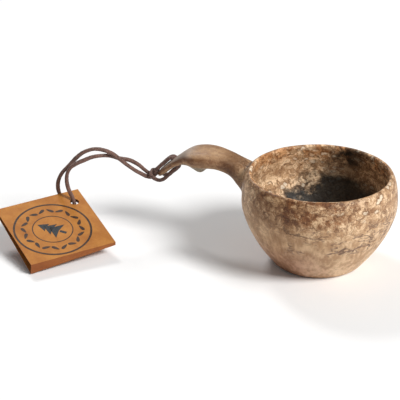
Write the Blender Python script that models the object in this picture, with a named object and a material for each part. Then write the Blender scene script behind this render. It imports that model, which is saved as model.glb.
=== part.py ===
"""Kuksa: a carved drinking cup with a one-piece handle, a hitched leather lace and a folded card tag.

Metres, +Z up.  The origin is the middle of the flat base, on the surface that the cup stands on,
and the handle runs along -X.  Every closed solid is one object with its own material.
"""

import math

import bmesh
import bpy
from mathutils import Matrix, Vector

MM = 0.001

# Bowl: a turned outer and inner outline, each point a radius and a height.
RIM_HEIGHT = 63.9 * MM
BOWL_SEGMENTS = 72
OUTER_OUTLINE = (
    (27.6, 0.0), (30.3, 0.9), (33.4, 4.6), (39.1, 12.0), (45.0, 22.0), (49.5, 32.0),
    (51.9, 41.0), (52.0, 47.5), (51.2, 55.0), (49.8, 60.6), (48.5, 63.1),
)
LIP_OUTLINE = ((47.8, 63.7), (46.9, 63.9), (46.0, 63.6), (45.5, 62.8))
INNER_OUTLINE = (
    (45.5, 61.5), (46.4, 57.0), (47.6, 51.0), (47.9, 45.5), (46.9, 38.5), (43.8, 29.5),
    (38.6, 20.5), (31.4, 12.2), (24.6, 7.4), (17.0, 5.2), (8.0, 4.8),
)
FLOOR_THICKNESS = 4.8 * MM
WALL_MIDDLE_INSET = 1.7 * MM

# Handle: distance from the bowl's axis, height, half width and half thickness of each station.
HANDLE_STATIONS = (
    (42.0, 48.0, 21.9, 11.9), (47.0, 50.0, 16.3, 9.7), (51.5, 52.2, 12.5, 8.4),
    (56.0, 55.3, 10.8, 7.5), (61.0, 57.7, 10.0, 6.5), (66.5, 59.6, 10.4, 6.3),
    (72.5, 60.7, 11.6, 6.1), (79.0, 61.0, 13.5, 6.1), (85.5, 60.8, 14.2, 5.9),
    (91.5, 60.1, 12.5, 5.4), (96.5, 58.0, 9.6, 4.4), (101.0, 55.6, 7.7, 3.3),
    (106.0, 52.4, 6.6, 2.7), (111.0, 48.2, 6.0, 2.5), (115.0, 44.2, 5.0, 2.3),
    (117.4, 41.7, 3.5, 1.8), (118.6, 40.3, 1.2, 0.7),
)
HANDLE_STEPS = 3
HANDLE_SIDES = 28
HANDLE_SQUARENESS = 2.3
FINGER_BUMP_PLACE = 87.6 * MM
FINGER_BUMP_LENGTH = 6.4 * MM
FINGER_BUMP_HALF_WIDTH = 8.8 * MM
FINGER_BUMP_DEPTH = 6.6 * MM

# Lace hole through the drooping tip of the handle.
LACE_HOLE_PLACE = (-105.0 * MM, 0.0, 53.1 * MM)
LACE_HOLE_RADIUS = 3.4 * MM
LACE_HOLE_TILT = math.radians(38.7)
LACE_HOLE_SIDES = 24

# Leather lace, with its routes in millimetres.  The hitch is listed from the bar that crosses over
# the strands to where a strand leaves the tip, and its far half mirrors that list.  The strands are
# cut at the bend where the lace lifts, and each leaves the hitch by a short end of its own.
LACE_DIAMETER = 2.8 * MM
LACE_STEPS = 2
HITCH_HALF_ROUTE = (
    (-123.6, 0.0, 42.9), (-123.5, -2.9, 42.0), (-121.8, -4.9, 40.7), (-119.0, -5.6, 39.5),
    (-115.8, -5.3, 38.9), (-112.9, -4.4, 40.0), (-110.6, -3.4, 42.3), (-108.4, -2.5, 44.8),
    (-106.0, -1.9, 46.9), (-103.9, -1.6, 49.0), (-103.6, -1.6, 51.6), (-105.2, -1.6, 54.2),
    (-107.1, -1.6, 55.8), (-109.4, -1.6, 55.3), (-112.2, -1.6, 52.8), (-115.1, -1.6, 49.8),
    (-118.0, -1.6, 46.8), (-120.3, -1.6, 43.9), (-120.9, -1.6, 41.5),
)
LOWER_HITCH_END = ((-122.1, -1.8, 39.5), (-124.4, -2.3, 38.6), (-126.9, -3.1, 39.1))
UPPER_HITCH_END = ((-122.1, 1.8, 39.5), (-124.4, 1.7, 38.8), (-127.0, 0.8, 40.1))
LOWER_STRAND_ROUTE = (
    (-129.8, -4.9, 41.1), (-132.9, -7.0, 43.5), (-138.4, -10.5, 48.9), (-143.2, -13.4, 54.1),
    (-147.7, -14.9, 57.5), (-152.9, -16.6, 59.6), (-159.2, -19.2, 60.3), (-165.8, -22.0, 57.8),
    (-170.9, -23.8, 53.2), (-175.6, -25.8, 47.5), (-180.1, -27.4, 42.2), (-183.4, -27.5, 35.8),
    (-184.8, -26.5, 29.4), (-184.6, -25.0, 24.0), (-182.6, -23.4, 17.4), (-179.6, -23.6, 13.4),
    (-175.8, -25.2, 11.2),
)
UPPER_STRAND_ROUTE = (
    (-129.5, -1.7, 43.4), (-131.4, -3.6, 46.3), (-133.9, -5.0, 48.5), (-138.0, -6.8, 50.8),
    (-144.6, -9.8, 52.2), (-149.1, -13.0, 54.4), (-153.6, -16.3, 55.2), (-159.5, -20.0, 54.7),
    (-164.8, -23.6, 52.6), (-169.3, -26.6, 50.4), (-172.8, -28.8, 47.7), (-174.9, -29.7, 43.3),
    (-175.8, -29.5, 38.1), (-175.2, -28.9, 31.6), (-172.6, -28.8, 25.8), (-170.8, -29.2, 21.6),
    (-170.2, -29.6, 18.6), (-170.8, -28.9, 14.6),
)
KNOT_PLACE = (-172.2 * MM, -27.4 * MM, 10.6 * MM)
KNOT_HALF_SIZES = (3.9 * MM, 3.5 * MM, 3.6 * MM)

# Folded card tag: the near left corner of its upper leaf, and how that leaf is turned.
TAG_CORNER = (-164.4 * MM, -101.6 * MM, 8.2 * MM)
TAG_YAW = math.radians(52.4)
TAG_RISE = math.radians(2.0)
TAG_TILT = math.radians(14.2)
TAG_SIDE = 62.0 * MM
CARD_THICKNESS = 0.6 * MM
LEAF_GAPS = (6.8 * MM, 1.5 * MM, 1.6 * MM, 1.0 * MM)
LEAF_STEPS = 10
TAG_HOLE_FROM_RIGHT = 8.0 * MM
TAG_HOLE_FROM_REAR = 12.0 * MM
TAG_HOLE_RADIUS = 3.1 * MM


def smooth_curve(points, steps):
    """Points read from a centripetal Catmull-Rom curve through the given points."""
    knots = [Vector(p) for p in points]
    first = knots[0] * 2 - knots[1]
    last = knots[-1] * 2 - knots[-2]
    chain = [first, *knots, last]
    found = []
    for a, b, c, d in zip(chain, chain[1:], chain[2:], chain[3:]):
        t1 = (b - a).length ** 0.5
        t2 = t1 + (c - b).length ** 0.5
        t3 = t2 + (d - c).length ** 0.5
        for step in range(steps):
            t = t1 + (t2 - t1) * step / steps
            ab = a.lerp(b, t / t1)
            bc = b.lerp(c, (t - t1) / (t2 - t1))
            cd = c.lerp(d, (t - t2) / (t3 - t2))
            abc = ab.lerp(bc, t / t2)
            bcd = bc.lerp(cd, (t - t1) / (t3 - t1))
            found.append(abc.lerp(bcd, (t - t1) / (t2 - t1)))
    found.append(knots[-1])
    return found


def make_material(name, colour, roughness):
    """A plain material of one colour."""
    material = bpy.data.materials.new(name)
    material.use_nodes = True
    shader = material.node_tree.nodes["Principled BSDF"]
    shader.inputs["Base Color"].default_value = (*colour, 1.0)
    shader.inputs["Roughness"].default_value = roughness
    material.diffuse_color = (*colour, 1.0)
    return material


def add_object(name, mesh_builder, material=None):
    """A new object from a bmesh, with its normals outward and its round faces smooth."""
    bmesh.ops.recalc_face_normals(mesh_builder, faces=mesh_builder.faces)
    mesh = bpy.data.meshes.new(name)
    mesh_builder.to_mesh(mesh)
    mesh_builder.free()
    mesh.shade_smooth()
    mesh.set_sharp_from_angle(angle=math.radians(35.0))
    if material is not None:
        mesh.materials.append(material)
    made = bpy.data.objects.new(name, mesh)
    bpy.context.scene.collection.objects.link(made)
    return made


def hide_cutter(cutter):
    """Keeps a cutting form out of the finished object."""
    cutter.hide_render = True
    cutter.display_type = "WIRE"


def turned(outline, segments=BOWL_SEGMENTS):
    """A closed body turned about Z from an outline whose two ends lie on the axis."""
    builder = bmesh.new()
    vertices = [builder.verts.new((p[0], 0.0, p[1])) for p in outline]
    edges = [builder.edges.new(pair) for pair in zip(vertices, vertices[1:])]
    bmesh.ops.spin(
        builder, geom=vertices + edges, cent=(0, 0, 0), axis=(0, 0, 1),
        angle=2 * math.pi, steps=segments, use_merge=True,
    )
    bmesh.ops.remove_doubles(builder, verts=builder.verts, dist=1e-6)
    return builder


def apply_boolean(target, cutter, operation):
    """Joins or cuts a body with another, which is then hidden."""
    modifier = target.modifiers.new(cutter.name, "BOOLEAN")
    modifier.operation = operation
    modifier.solver = "EXACT"
    modifier.object = cutter
    hide_cutter(cutter)


def bowl_outline():
    """The closed outline of the bowl's wall: up the outside, over the lip and down the inside."""
    outer = [(0.0, 0.0), *((r * MM, z * MM) for r, z in OUTER_OUTLINE)]
    side = smooth_curve([(r, z, 0.0) for r, z in outer[1:]], 2)
    lip = [(r * MM, z * MM) for r, z in LIP_OUTLINE]
    inside = smooth_curve([(r * MM, z * MM, 0.0) for r, z in INNER_OUTLINE], 2)
    centre = (0.0, FLOOR_THICKNESS)
    return [outer[0], *((p.x, p.y) for p in side), *lip, *((p.x, p.y) for p in inside), centre]


def wall_middle_outline():
    """The outer outline moved into the wall: it trims the handle's root inside the wall."""
    side = smooth_curve([(r * MM, z * MM, 0.0) for r, z in OUTER_OUTLINE], 2)
    inset = [(p.x - WALL_MIDDLE_INSET, p.y) for p in side]
    below = inset[0][1] - MM
    above = RIM_HEIGHT + 10 * MM
    return [(0.0, below), (inset[0][0], below), *inset, (inset[-1][0], above), (0.0, above)]


def squared(part):
    """A sine or cosine drawn out towards a slightly square oval."""
    return math.copysign(abs(part) ** (2 / HANDLE_SQUARENESS), part)


def handle_ring(centre, tangent, half_width, half_thickness):
    """One cross-section of the handle, flattened a little, with the finger bump beneath."""
    upward = Vector((-tangent.z, 0.0, tangent.x))
    if upward.z < 0:
        upward.negate()
    bump = FINGER_BUMP_DEPTH * math.exp(-((-centre.x - FINGER_BUMP_PLACE) / FINGER_BUMP_LENGTH) ** 2)
    ring = []
    for side in range(HANDLE_SIDES):
        angle = 2 * math.pi * side / HANDLE_SIDES
        across = squared(math.cos(angle)) * half_width
        up = squared(math.sin(angle)) * half_thickness
        if up < 0:
            spread = math.exp(-((across / FINGER_BUMP_HALF_WIDTH) ** 2))
            up -= bump * spread * min(1.0, -2 * up / half_thickness)
        ring.append(centre + upward * up + Vector((0.0, across, 0.0)))
    return ring


def handle_builder():
    """The handle's form, skinned through its stations from inside the bowl to the tip."""
    path = smooth_curve([(-r * MM, 0.0, z * MM) for r, z, _, _ in HANDLE_STATIONS], HANDLE_STEPS)
    sizes = smooth_curve([(a * MM, b * MM, 0.1 * MM * k)
                          for k, (_, _, a, b) in enumerate(HANDLE_STATIONS)], HANDLE_STEPS)
    builder = bmesh.new()
    rings = []
    for index, (centre, size) in enumerate(zip(path, sizes)):
        ahead = path[min(index + 1, len(path) - 1)]
        behind = path[max(index - 1, 0)]
        tangent = (ahead - behind).normalized()
        rings.append([builder.verts.new(p) for p in handle_ring(centre, tangent, size.x, size.y)])
    for ring, following in zip(rings, rings[1:]):
        for side in range(HANDLE_SIDES):
            after = (side + 1) % HANDLE_SIDES
            builder.faces.new((ring[side], ring[after], following[after], following[side]))
    builder.faces.new(rings[0])
    builder.faces.new(rings[-1])
    return builder


def make_cup():
    """The bowl and its handle as one carved body, with the lace hole through the tip."""
    wood = make_material("birch_burl", (0.42, 0.26, 0.13), 0.5)
    cup = add_object("cup_body", turned(bowl_outline()), wood)
    handle = add_object("handle_form", handle_builder())
    wall_middle = add_object("wall_middle_form", turned(wall_middle_outline()))
    apply_boolean(handle, wall_middle, "DIFFERENCE")
    apply_boolean(cup, handle, "UNION")
    builder = bmesh.new()
    bmesh.ops.create_cone(
        builder, cap_ends=True, segments=LACE_HOLE_SIDES, radius1=LACE_HOLE_RADIUS,
        radius2=LACE_HOLE_RADIUS, depth=30 * MM,
        matrix=Matrix.Translation(LACE_HOLE_PLACE) @ Matrix.Rotation(-LACE_HOLE_TILT, 4, "Y"),
    )
    apply_boolean(cup, add_object("lace_hole_form", builder), "DIFFERENCE")
    return cup


def lace_tube(name, route, material):
    """A lace stretch: a tube with filled ends on a smooth curve through its route's points."""
    points = smooth_curve([Vector(p) * MM for p in route], LACE_STEPS)
    curve = bpy.data.curves.new(name, "CURVE")
    curve.dimensions = "3D"
    spline = curve.splines.new("POLY")
    spline.points.add(len(points) - 1)
    for point, place in zip(spline.points, points):
        point.co = (*place, 1.0)
    curve.bevel_depth = LACE_DIAMETER / 2
    curve.bevel_resolution = 2
    curve.use_fill_caps = True
    curve.materials.append(material)
    made = bpy.data.objects.new(name, curve)
    bpy.context.scene.collection.objects.link(made)
    return made


def make_lanyard():
    """The lace's hitch, its two strands and the knot that joins their ends."""
    leather = make_material("brown_leather", (0.13, 0.06, 0.04), 0.6)
    near_half = [*HITCH_HALF_ROUTE, *LOWER_HITCH_END]
    far_half = [*((x, -y, z) for x, y, z in HITCH_HALF_ROUTE[1:]), *UPPER_HITCH_END]
    lace_tube("lanyard_hitch", near_half[::-1] + far_half, leather)
    lace_tube("lanyard_lower_strand", LOWER_STRAND_ROUTE, leather)
    lace_tube("lanyard_upper_strand", UPPER_STRAND_ROUTE, leather)
    builder = bmesh.new()
    shape = Matrix.Translation(KNOT_PLACE) @ Matrix.Diagonal((*KNOT_HALF_SIZES, 1.0))
    bmesh.ops.create_uvsphere(builder, u_segments=20, v_segments=12, radius=1.0, matrix=shape)
    add_object("lanyard_knot", builder, leather)


def tag_frame():
    """The tag's near left corner and its directions along the fold, to the rear and upward."""
    along = Vector((math.cos(TAG_YAW) * math.cos(TAG_RISE), math.sin(TAG_YAW) * math.cos(TAG_RISE),
                    math.sin(TAG_RISE)))
    level = Vector((-math.sin(TAG_YAW), math.cos(TAG_YAW), 0.0))
    upright = along.cross(level)
    rearward = level * math.cos(TAG_TILT) + upright * math.sin(TAG_TILT)
    return Vector(TAG_CORNER), along, rearward, along.cross(rearward)


def leaf_gap(across, back):
    """The gap between the two leaves, at fractions of the side along the fold and rearward."""
    near = LEAF_GAPS[0] + (LEAF_GAPS[1] - LEAF_GAPS[0]) * across
    far = LEAF_GAPS[2] + (LEAF_GAPS[3] - LEAF_GAPS[2]) * across
    return near + (far - near) * back


def make_tag():
    """One folded card: upper leaf, narrow spine along the fold, and the bowed lower leaf."""
    corner, along, rearward, upward = tag_frame()
    builder = bmesh.new()
    rings = []
    for column in range(LEAF_STEPS + 1):
        across = column / LEAF_STEPS
        backs = [row / LEAF_STEPS for row in range(LEAF_STEPS + 1)]
        fold = CARD_THICKNESS / TAG_SIDE
        inner_backs = [max(back, fold) for back in backs]
        outline = [(back, 0.0) for back in reversed(backs)]
        outline += [(back, -CARD_THICKNESS * 2 - leaf_gap(across, back)) for back in backs]
        outline += [(back, -CARD_THICKNESS - leaf_gap(across, back)) for back in reversed(inner_backs)]
        outline += [(back, -CARD_THICKNESS) for back in inner_backs]
        start = corner + along * (TAG_SIDE * across)
        rings.append([builder.verts.new(start + rearward * (TAG_SIDE * back) + upward * up)
                      for back, up in outline])
    sides = len(rings[0])
    for ring, following in zip(rings, rings[1:]):
        for side in range(sides):
            after = (side + 1) % sides
            builder.faces.new((ring[side], ring[after], following[after], following[side]))
    builder.faces.new(rings[0])
    builder.faces.new(rings[-1])
    card = make_material("orange_card", (0.62, 0.26, 0.05), 0.7)
    tag = add_object("swing_tag", builder, card)
    hole_builder = bmesh.new()
    place = corner + along * (TAG_SIDE - TAG_HOLE_FROM_RIGHT) + rearward * (TAG_SIDE - TAG_HOLE_FROM_REAR)
    turn = Matrix((along, rearward, upward)).transposed().to_4x4()
    bmesh.ops.create_cone(
        hole_builder, cap_ends=True, segments=LACE_HOLE_SIDES, radius1=TAG_HOLE_RADIUS,
        radius2=TAG_HOLE_RADIUS, depth=12 * MM, matrix=Matrix.Translation(place) @ turn,
    )
    apply_boolean(tag, add_object("tag_hole_form", hole_builder), "DIFFERENCE")


def clear_scene():
    """Starts from an empty scene."""
    for item in list(bpy.data.objects):
        bpy.data.objects.remove(item, do_unlink=True)


def main():
    """Builds the three sub-assemblies."""
    clear_scene()
    make_cup()
    make_lanyard()
    make_tag()


main()
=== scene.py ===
"""Looks of a carved kuksa with a hitched leather lace and a folded card tag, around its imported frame.

Metres, +Z up.  The origin is the middle of the cup's flat base and the handle runs along -X.
Outlines, stations and routes are listed in millimetres, the way they are measured on the bench.
"""

import logging
import math
from collections.abc import Callable, Sequence
from dataclasses import dataclass, field
from enum import Enum

import bmesh
import bpy
from mathutils import Matrix, Vector, noise

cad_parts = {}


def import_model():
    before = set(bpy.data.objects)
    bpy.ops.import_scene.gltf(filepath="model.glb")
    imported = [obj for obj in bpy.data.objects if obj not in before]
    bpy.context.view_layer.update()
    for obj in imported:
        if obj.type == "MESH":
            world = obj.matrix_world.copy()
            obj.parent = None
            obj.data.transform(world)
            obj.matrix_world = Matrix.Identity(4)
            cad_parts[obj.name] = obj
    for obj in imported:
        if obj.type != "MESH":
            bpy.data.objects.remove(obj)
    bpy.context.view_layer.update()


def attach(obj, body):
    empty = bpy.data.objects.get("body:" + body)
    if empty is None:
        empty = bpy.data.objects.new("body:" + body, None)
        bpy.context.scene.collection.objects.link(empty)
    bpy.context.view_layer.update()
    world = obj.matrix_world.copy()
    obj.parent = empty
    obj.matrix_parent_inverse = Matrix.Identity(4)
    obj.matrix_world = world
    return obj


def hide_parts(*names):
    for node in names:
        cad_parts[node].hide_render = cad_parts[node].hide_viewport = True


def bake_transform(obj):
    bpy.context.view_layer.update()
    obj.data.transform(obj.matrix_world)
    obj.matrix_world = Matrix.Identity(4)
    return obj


MM = 0.001
LOG = logging.getLogger("kuksa")
Point = tuple[float, float, float]
Colour = tuple[float, float, float]
Socket = bpy.types.NodeSocket


class Body(Enum):
    """The rigid bodies of the frame."""

    CUP = "cup"
    LANYARD = "lanyard"
    TAG = "tag"


class Slot(Enum):
    """The record's material slots."""

    WOOD = "burl_wood"
    LEATHER = "lace_leather"
    CARD = "tag_card"


# ---------------------------------------------------------------- shared mesh tools


def smooth_curve(points: Sequence[Vector], steps: int) -> list[Vector]:
    """Read points from a centripetal Catmull-Rom curve.

    Args:
        points: the points that the curve passes through.
        steps: how many points are read between each two of them.

    Returns:
        The points in order, the last given point among them.
    """
    knots = [Vector(p) for p in points]
    chain = [knots[0] * 2 - knots[1], *knots, knots[-1] * 2 - knots[-2]]
    found = []
    for a, b, c, d in zip(chain, chain[1:], chain[2:], chain[3:]):
        t1 = (b - a).length ** 0.5
        t2 = t1 + (c - b).length ** 0.5
        t3 = t2 + (d - c).length ** 0.5
        for step in range(steps):
            t = t1 + (t2 - t1) * step / steps
            ab = a.lerp(b, t / t1)
            bc = b.lerp(c, (t - t1) / (t2 - t1))
            cd = c.lerp(d, (t - t2) / (t3 - t2))
            abc = ab.lerp(bc, t / t2)
            bcd = bc.lerp(cd, (t - t1) / (t3 - t1))
            found.append(abc.lerp(bcd, (t - t1) / (t2 - t1)))
    found.append(knots[-1])
    return found


def length_of(path: Sequence[Vector]) -> float:
    """Return the length of a path of points."""
    return sum((b - a).length for a, b in zip(path, path[1:]))


def evenly(path: Sequence[Vector], spacing: float) -> list[Vector]:
    """Read points along a path at an even spacing.

    Args:
        path: a finely divided path.
        spacing: the wanted distance between two points, in metres.

    Returns:
        Points from the path's start to its end.
    """
    total = length_of(path)
    count = max(2, round(total / spacing))
    found = [path[0].copy()]
    walked = 0.0
    for a, b in zip(path, path[1:]):
        stretch = (b - a).length
        while len(found) < count and walked + stretch >= total * len(found) / count:
            found.append(a.lerp(b, (total * len(found) / count - walked) / stretch))
        walked += stretch
    found.append(path[-1].copy())
    return found


def turned(outline: Sequence[tuple[float, float]], segments: int) -> bmesh.types.BMesh:
    """Turn an outline of radii and heights about Z into a closed body.

    Args:
        outline: points of radius and height whose two ends lie on the axis.
        segments: steps of the full turn.

    Returns:
        The turned body, with its faces outward.
    """
    builder = bmesh.new()
    vertices = [builder.verts.new((radius, 0.0, height)) for radius, height in outline]
    edges = [builder.edges.new(pair) for pair in zip(vertices, vertices[1:])]
    bmesh.ops.spin(
        builder, geom=vertices + edges, cent=(0, 0, 0), axis=(0, 0, 1),
        angle=2 * math.pi, steps=segments, use_merge=True,
    )
    bmesh.ops.remove_doubles(builder, verts=builder.verts, dist=1e-6)
    bmesh.ops.recalc_face_normals(builder, faces=builder.faces)
    return builder


def lofted(rings: Sequence[Sequence[Vector]]) -> bmesh.types.BMesh:
    """Draw a closed skin through rings of points by extruding the first ring on and on.

    Args:
        rings: cross-sections with the same number of points each.

    Returns:
        The skin with both ends filled and its faces outward.
    """
    builder = bmesh.new()
    bmesh.ops.create_circle(builder, cap_ends=True, segments=len(rings[0]), radius=1.0)
    ring = list(builder.verts)
    for vertex, place in zip(ring, rings[0]):
        vertex.co = place
    for places in rings[1:]:
        sides = [builder.edges.get((a, b)) for a, b in zip(ring, ring[1:] + ring[:1])]
        grown = bmesh.ops.extrude_edge_only(builder, edges=sides)["geom"]
        fresh = {item for item in grown if isinstance(item, bmesh.types.BMVert)}
        ring = [next(e.other_vert(v) for e in v.link_edges if e.other_vert(v) in fresh) for v in ring]
        for vertex, place in zip(ring, places):
            vertex.co = place
    bmesh.ops.contextual_create(builder, geom=ring)
    bmesh.ops.recalc_face_normals(builder, faces=builder.faces)
    return builder


def add_piece(name: str, builder: bmesh.types.BMesh) -> bpy.types.Object:
    """Make a smooth-shaded object at the origin from a bmesh, and free the bmesh.

    Args:
        name: the object's name.
        builder: its mesh, in metres.

    Returns:
        The object.
    """
    mesh = bpy.data.meshes.new(name)
    builder.to_mesh(mesh)
    builder.free()
    mesh.shade_smooth()
    piece = bpy.data.objects.new(name, mesh)
    bpy.context.scene.collection.objects.link(piece)
    return piece


def settle(piece: bpy.types.Object) -> None:
    """Apply a piece's live modifiers to its mesh.

    Args:
        piece: the piece.
    """
    graph = bpy.context.evaluated_depsgraph_get()
    finished = bpy.data.meshes.new_from_object(piece.evaluated_get(graph))
    rough = piece.data
    piece.modifiers.clear()
    piece.data = finished
    bpy.data.meshes.remove(rough)


def combine(piece: bpy.types.Object, tool: bpy.types.Object, operation: str) -> None:
    """Join or cut a piece with another solid, and remove that solid.

    Args:
        piece: the piece to change.
        tool: the solid that it is joined or cut with.
        operation: UNION or DIFFERENCE.
    """
    modifier = piece.modifiers.new("combine", "BOOLEAN")
    modifier.operation = operation
    modifier.solver = "EXACT"
    modifier.object = tool
    settle(piece)
    mesh = tool.data
    bpy.data.objects.remove(tool)
    bpy.data.meshes.remove(mesh)


def dress(piece: bpy.types.Object, material: bpy.types.Material) -> None:
    """Give a piece its only material.

    Args:
        piece: the piece.
        material: its material.
    """
    piece.data.materials.clear()
    piece.data.materials.append(material)


# ---------------------------------------------------------------- shared node tools


class Graph:
    """A short way to write a node tree: each method adds nodes and returns their main output."""

    def __init__(self, tree: bpy.types.NodeTree) -> None:
        """Keep the tree that nodes are added to."""
        self.tree = tree

    def add(self, kind: str, **settings: object) -> bpy.types.Node:
        """Add a node.

        Args:
            kind: the node's type.
            settings: its properties.

        Returns:
            The node.
        """
        node = self.tree.nodes.new(kind)
        for name, value in settings.items():
            setattr(node, name, value)
        return node

    def feed(self, socket: Socket, value: object) -> None:
        """Link a socket to another socket, or set its constant.

        Args:
            socket: the input to feed.
            value: a socket, a number, a vector or a colour.
        """
        if isinstance(value, bpy.types.NodeSocket):
            self.tree.links.new(value, socket)
        elif isinstance(value, tuple) and len(value) == 3 and socket.type == "RGBA":
            socket.default_value = (*value, 1.0)
        else:
            socket.default_value = value

    def math(self, operation: str, first: object, second: object = 0.0) -> Socket:
        """Combine two values.

        Args:
            operation: the arithmetic operation.
            first: the first value.
            second: the second value, where the operation has one.

        Returns:
            The result.
        """
        node = self.add("ShaderNodeMath", operation=operation)
        self.feed(node.inputs[0], first)
        self.feed(node.inputs[1], second)
        return node.outputs[0]

    def times(self, first: object, *others: object) -> Socket:
        """Multiply two or more values.

        Args:
            first: the first value.
            others: the values that it is multiplied by.

        Returns:
            The product.
        """
        for other in others:
            first = self.math("MULTIPLY", first, other)
        return first

    def plus(self, first: object, second: object) -> Socket:
        """Add two values."""
        return self.math("ADD", first, second)

    def minus(self, first: object, second: object) -> Socket:
        """Take the second value from the first."""
        return self.math("SUBTRACT", first, second)

    def larger(self, first: object, second: object) -> Socket:
        """Return the larger of two values."""
        return self.math("MAXIMUM", first, second)

    def vector(self, operation: str, first: object, second: object = (0.0, 0.0, 0.0)) -> Socket:
        """Combine two vectors.

        Args:
            operation: the vector operation.
            first: the first vector.
            second: the second vector, where the operation has one.

        Returns:
            The resulting vector.
        """
        node = self.add("ShaderNodeVectorMath", operation=operation)
        self.feed(node.inputs[0], first)
        self.feed(node.inputs[1], second)
        return node.outputs[0]

    def mix(self, share: object, first: object, second: object, blend: str = "MIX") -> Socket:
        """Mix two colours.

        Args:
            share: how much of the second colour is taken.
            first: the first colour.
            second: the second colour.
            blend: how the second colour is laid on the first.

        Returns:
            The mixed colour.
        """
        node = self.add("ShaderNodeMix", data_type="RGBA", blend_type=blend)
        self.feed(node.inputs["Factor"], share)
        self.feed(node.inputs[6], first)
        self.feed(node.inputs[7], second)
        return node.outputs[2]

    def span(self, value: object, low: float, high: float,
             to_low: float = 0.0, to_high: float = 1.0) -> Socket:
        """Map a span of values smoothly onto another span, clamped at both ends.

        Args:
            value: the value to map.
            low: the value that gives to_low.
            high: the value that gives to_high.
            to_low: the result at low.
            to_high: the result at high.

        Returns:
            The mapped value.
        """
        node = self.add("ShaderNodeMapRange", interpolation_type="SMOOTHSTEP")
        for socket, item in zip(node.inputs, (value, low, high, to_low, to_high)):
            self.feed(socket, item)
        return node.outputs[0]

    def stretched(self, vector: object, scale: Point) -> Socket:
        """Stretch a pattern's coordinates.

        Args:
            vector: the coordinates.
            scale: the factor along each axis.

        Returns:
            The stretched coordinates.
        """
        node = self.add("ShaderNodeMapping")
        self.feed(node.inputs["Vector"], vector)
        node.inputs["Scale"].default_value = scale
        return node.outputs[0]

    def noise(self, vector: object, scale: object, detail: float = 3.0, rough: float = 0.55,
              colour: bool = False) -> Socket:
        """Sample fractal noise.

        Args:
            vector: the coordinates.
            scale: the noise's scale.
            detail: how many finer layers it has.
            rough: how strong the finer layers are.
            colour: whether three noises are wanted as a colour, and not one value.

        Returns:
            The value or the colour.
        """
        node = self.add("ShaderNodeTexNoise")
        for name, item in (("Vector", vector), ("Scale", scale), ("Detail", detail), ("Roughness", rough)):
            self.feed(node.inputs[name], item)
        return node.outputs["Color" if colour else "Fac"]

    def pushed(self, vector: Socket, scale: float, detail: float, rough: float, reach: float) -> Socket:
        """Push coordinates about, so that no pattern keeps a straight edge.

        Args:
            vector: the coordinates.
            scale: the scale of the noise that pushes them.
            detail: how many finer layers the noise has.
            rough: how strong its finer layers are.
            reach: how far they are pushed, in metres.

        Returns:
            The pushed coordinates.
        """
        colour = self.noise(vector, scale, detail, rough, colour=True)
        push = self.vector("SCALE", self.vector("SUBTRACT", colour, (0.5, 0.5, 0.5)))
        push.node.inputs["Scale"].default_value = reach
        return self.vector("ADD", vector, push)

    def cells(self, vector: object, scale: float, output: str = "Distance") -> Socket:
        """Sample a cell pattern.

        Args:
            vector: the coordinates.
            scale: the pattern's scale.
            output: which of the pattern's outputs is wanted.

        Returns:
            That output.
        """
        node = self.add("ShaderNodeTexVoronoi")
        self.feed(node.inputs["Vector"], vector)
        node.inputs["Scale"].default_value = scale
        return node.outputs[output]

    def split(self, vector: object) -> tuple[Socket, Socket, Socket]:
        """Take a vector apart.

        Args:
            vector: the vector.

        Returns:
            Its three components.
        """
        node = self.add("ShaderNodeSeparateXYZ")
        self.feed(node.inputs[0], vector)
        return node.outputs[0], node.outputs[1], node.outputs[2]

    def normal(self) -> tuple[Socket, Socket, Socket]:
        """Return the components of the surface's direction."""
        return self.split(self.add("ShaderNodeNewGeometry").outputs["Normal"])

    def bump(self, height: Socket, depth: float, strength: float) -> Socket:
        """Turn a height into a normal.

        Args:
            height: the height, from 0 to 1.
            depth: the height's full depth in metres.
            strength: the share of the effect.

        Returns:
            The normal.
        """
        node = self.add("ShaderNodeBump")
        node.inputs["Strength"].default_value = strength
        node.inputs["Distance"].default_value = depth
        self.feed(node.inputs["Height"], height)
        return node.outputs[0]


def new_group(name: str, inputs: Sequence[tuple[str, str, float]], outputs: Sequence[str],
              fill: Callable[[Graph, bpy.types.Node, bpy.types.Node], None]) -> bpy.types.NodeTree:
    """Build a node group once.

    Args:
        name: the group's name.
        inputs: each input's name, socket kind and default.
        outputs: the names of its value outputs.
        fill: a function that draws the nodes between the group's input and output.

    Returns:
        The finished group.
    """
    tree = bpy.data.node_groups.new(name, "ShaderNodeTree")
    for label, kind, default in inputs:
        socket = tree.interface.new_socket(label, in_out="INPUT", socket_type=kind)
        if kind == "NodeSocketFloat":
            socket.default_value = default
    for label in outputs:
        tree.interface.new_socket(label, in_out="OUTPUT", socket_type="NodeSocketFloat")
    graph = Graph(tree)
    fill(graph, graph.add("NodeGroupInput"), graph.add("NodeGroupOutput"))
    return tree


def draw_mottle(graph: Graph, given: bpy.types.Node, result: bpy.types.Node) -> None:
    """Draw the nodes of the shared mottle.

    Args:
        graph: the group's graph.
        given: the group's input node.
        result: the group's output node.
    """
    vector, patch, fibre = (given.outputs[name] for name in ("Vector", "Patch Scale", "Fibre Scale"))
    broad = graph.noise(vector, patch, 4.0, 0.6)
    fine = graph.noise(vector, fibre, 5.0, 0.65)
    speck = graph.noise(vector, graph.times(fibre, 1.7), 1.0, 0.4)
    graph.feed(result.inputs["Patches"], graph.span(broad, 0.3, 0.7))
    graph.feed(result.inputs["Fibre"], graph.span(fine, 0.28, 0.72))
    graph.feed(result.inputs["Specks"], graph.span(speck, 0.62, 0.74))


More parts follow.
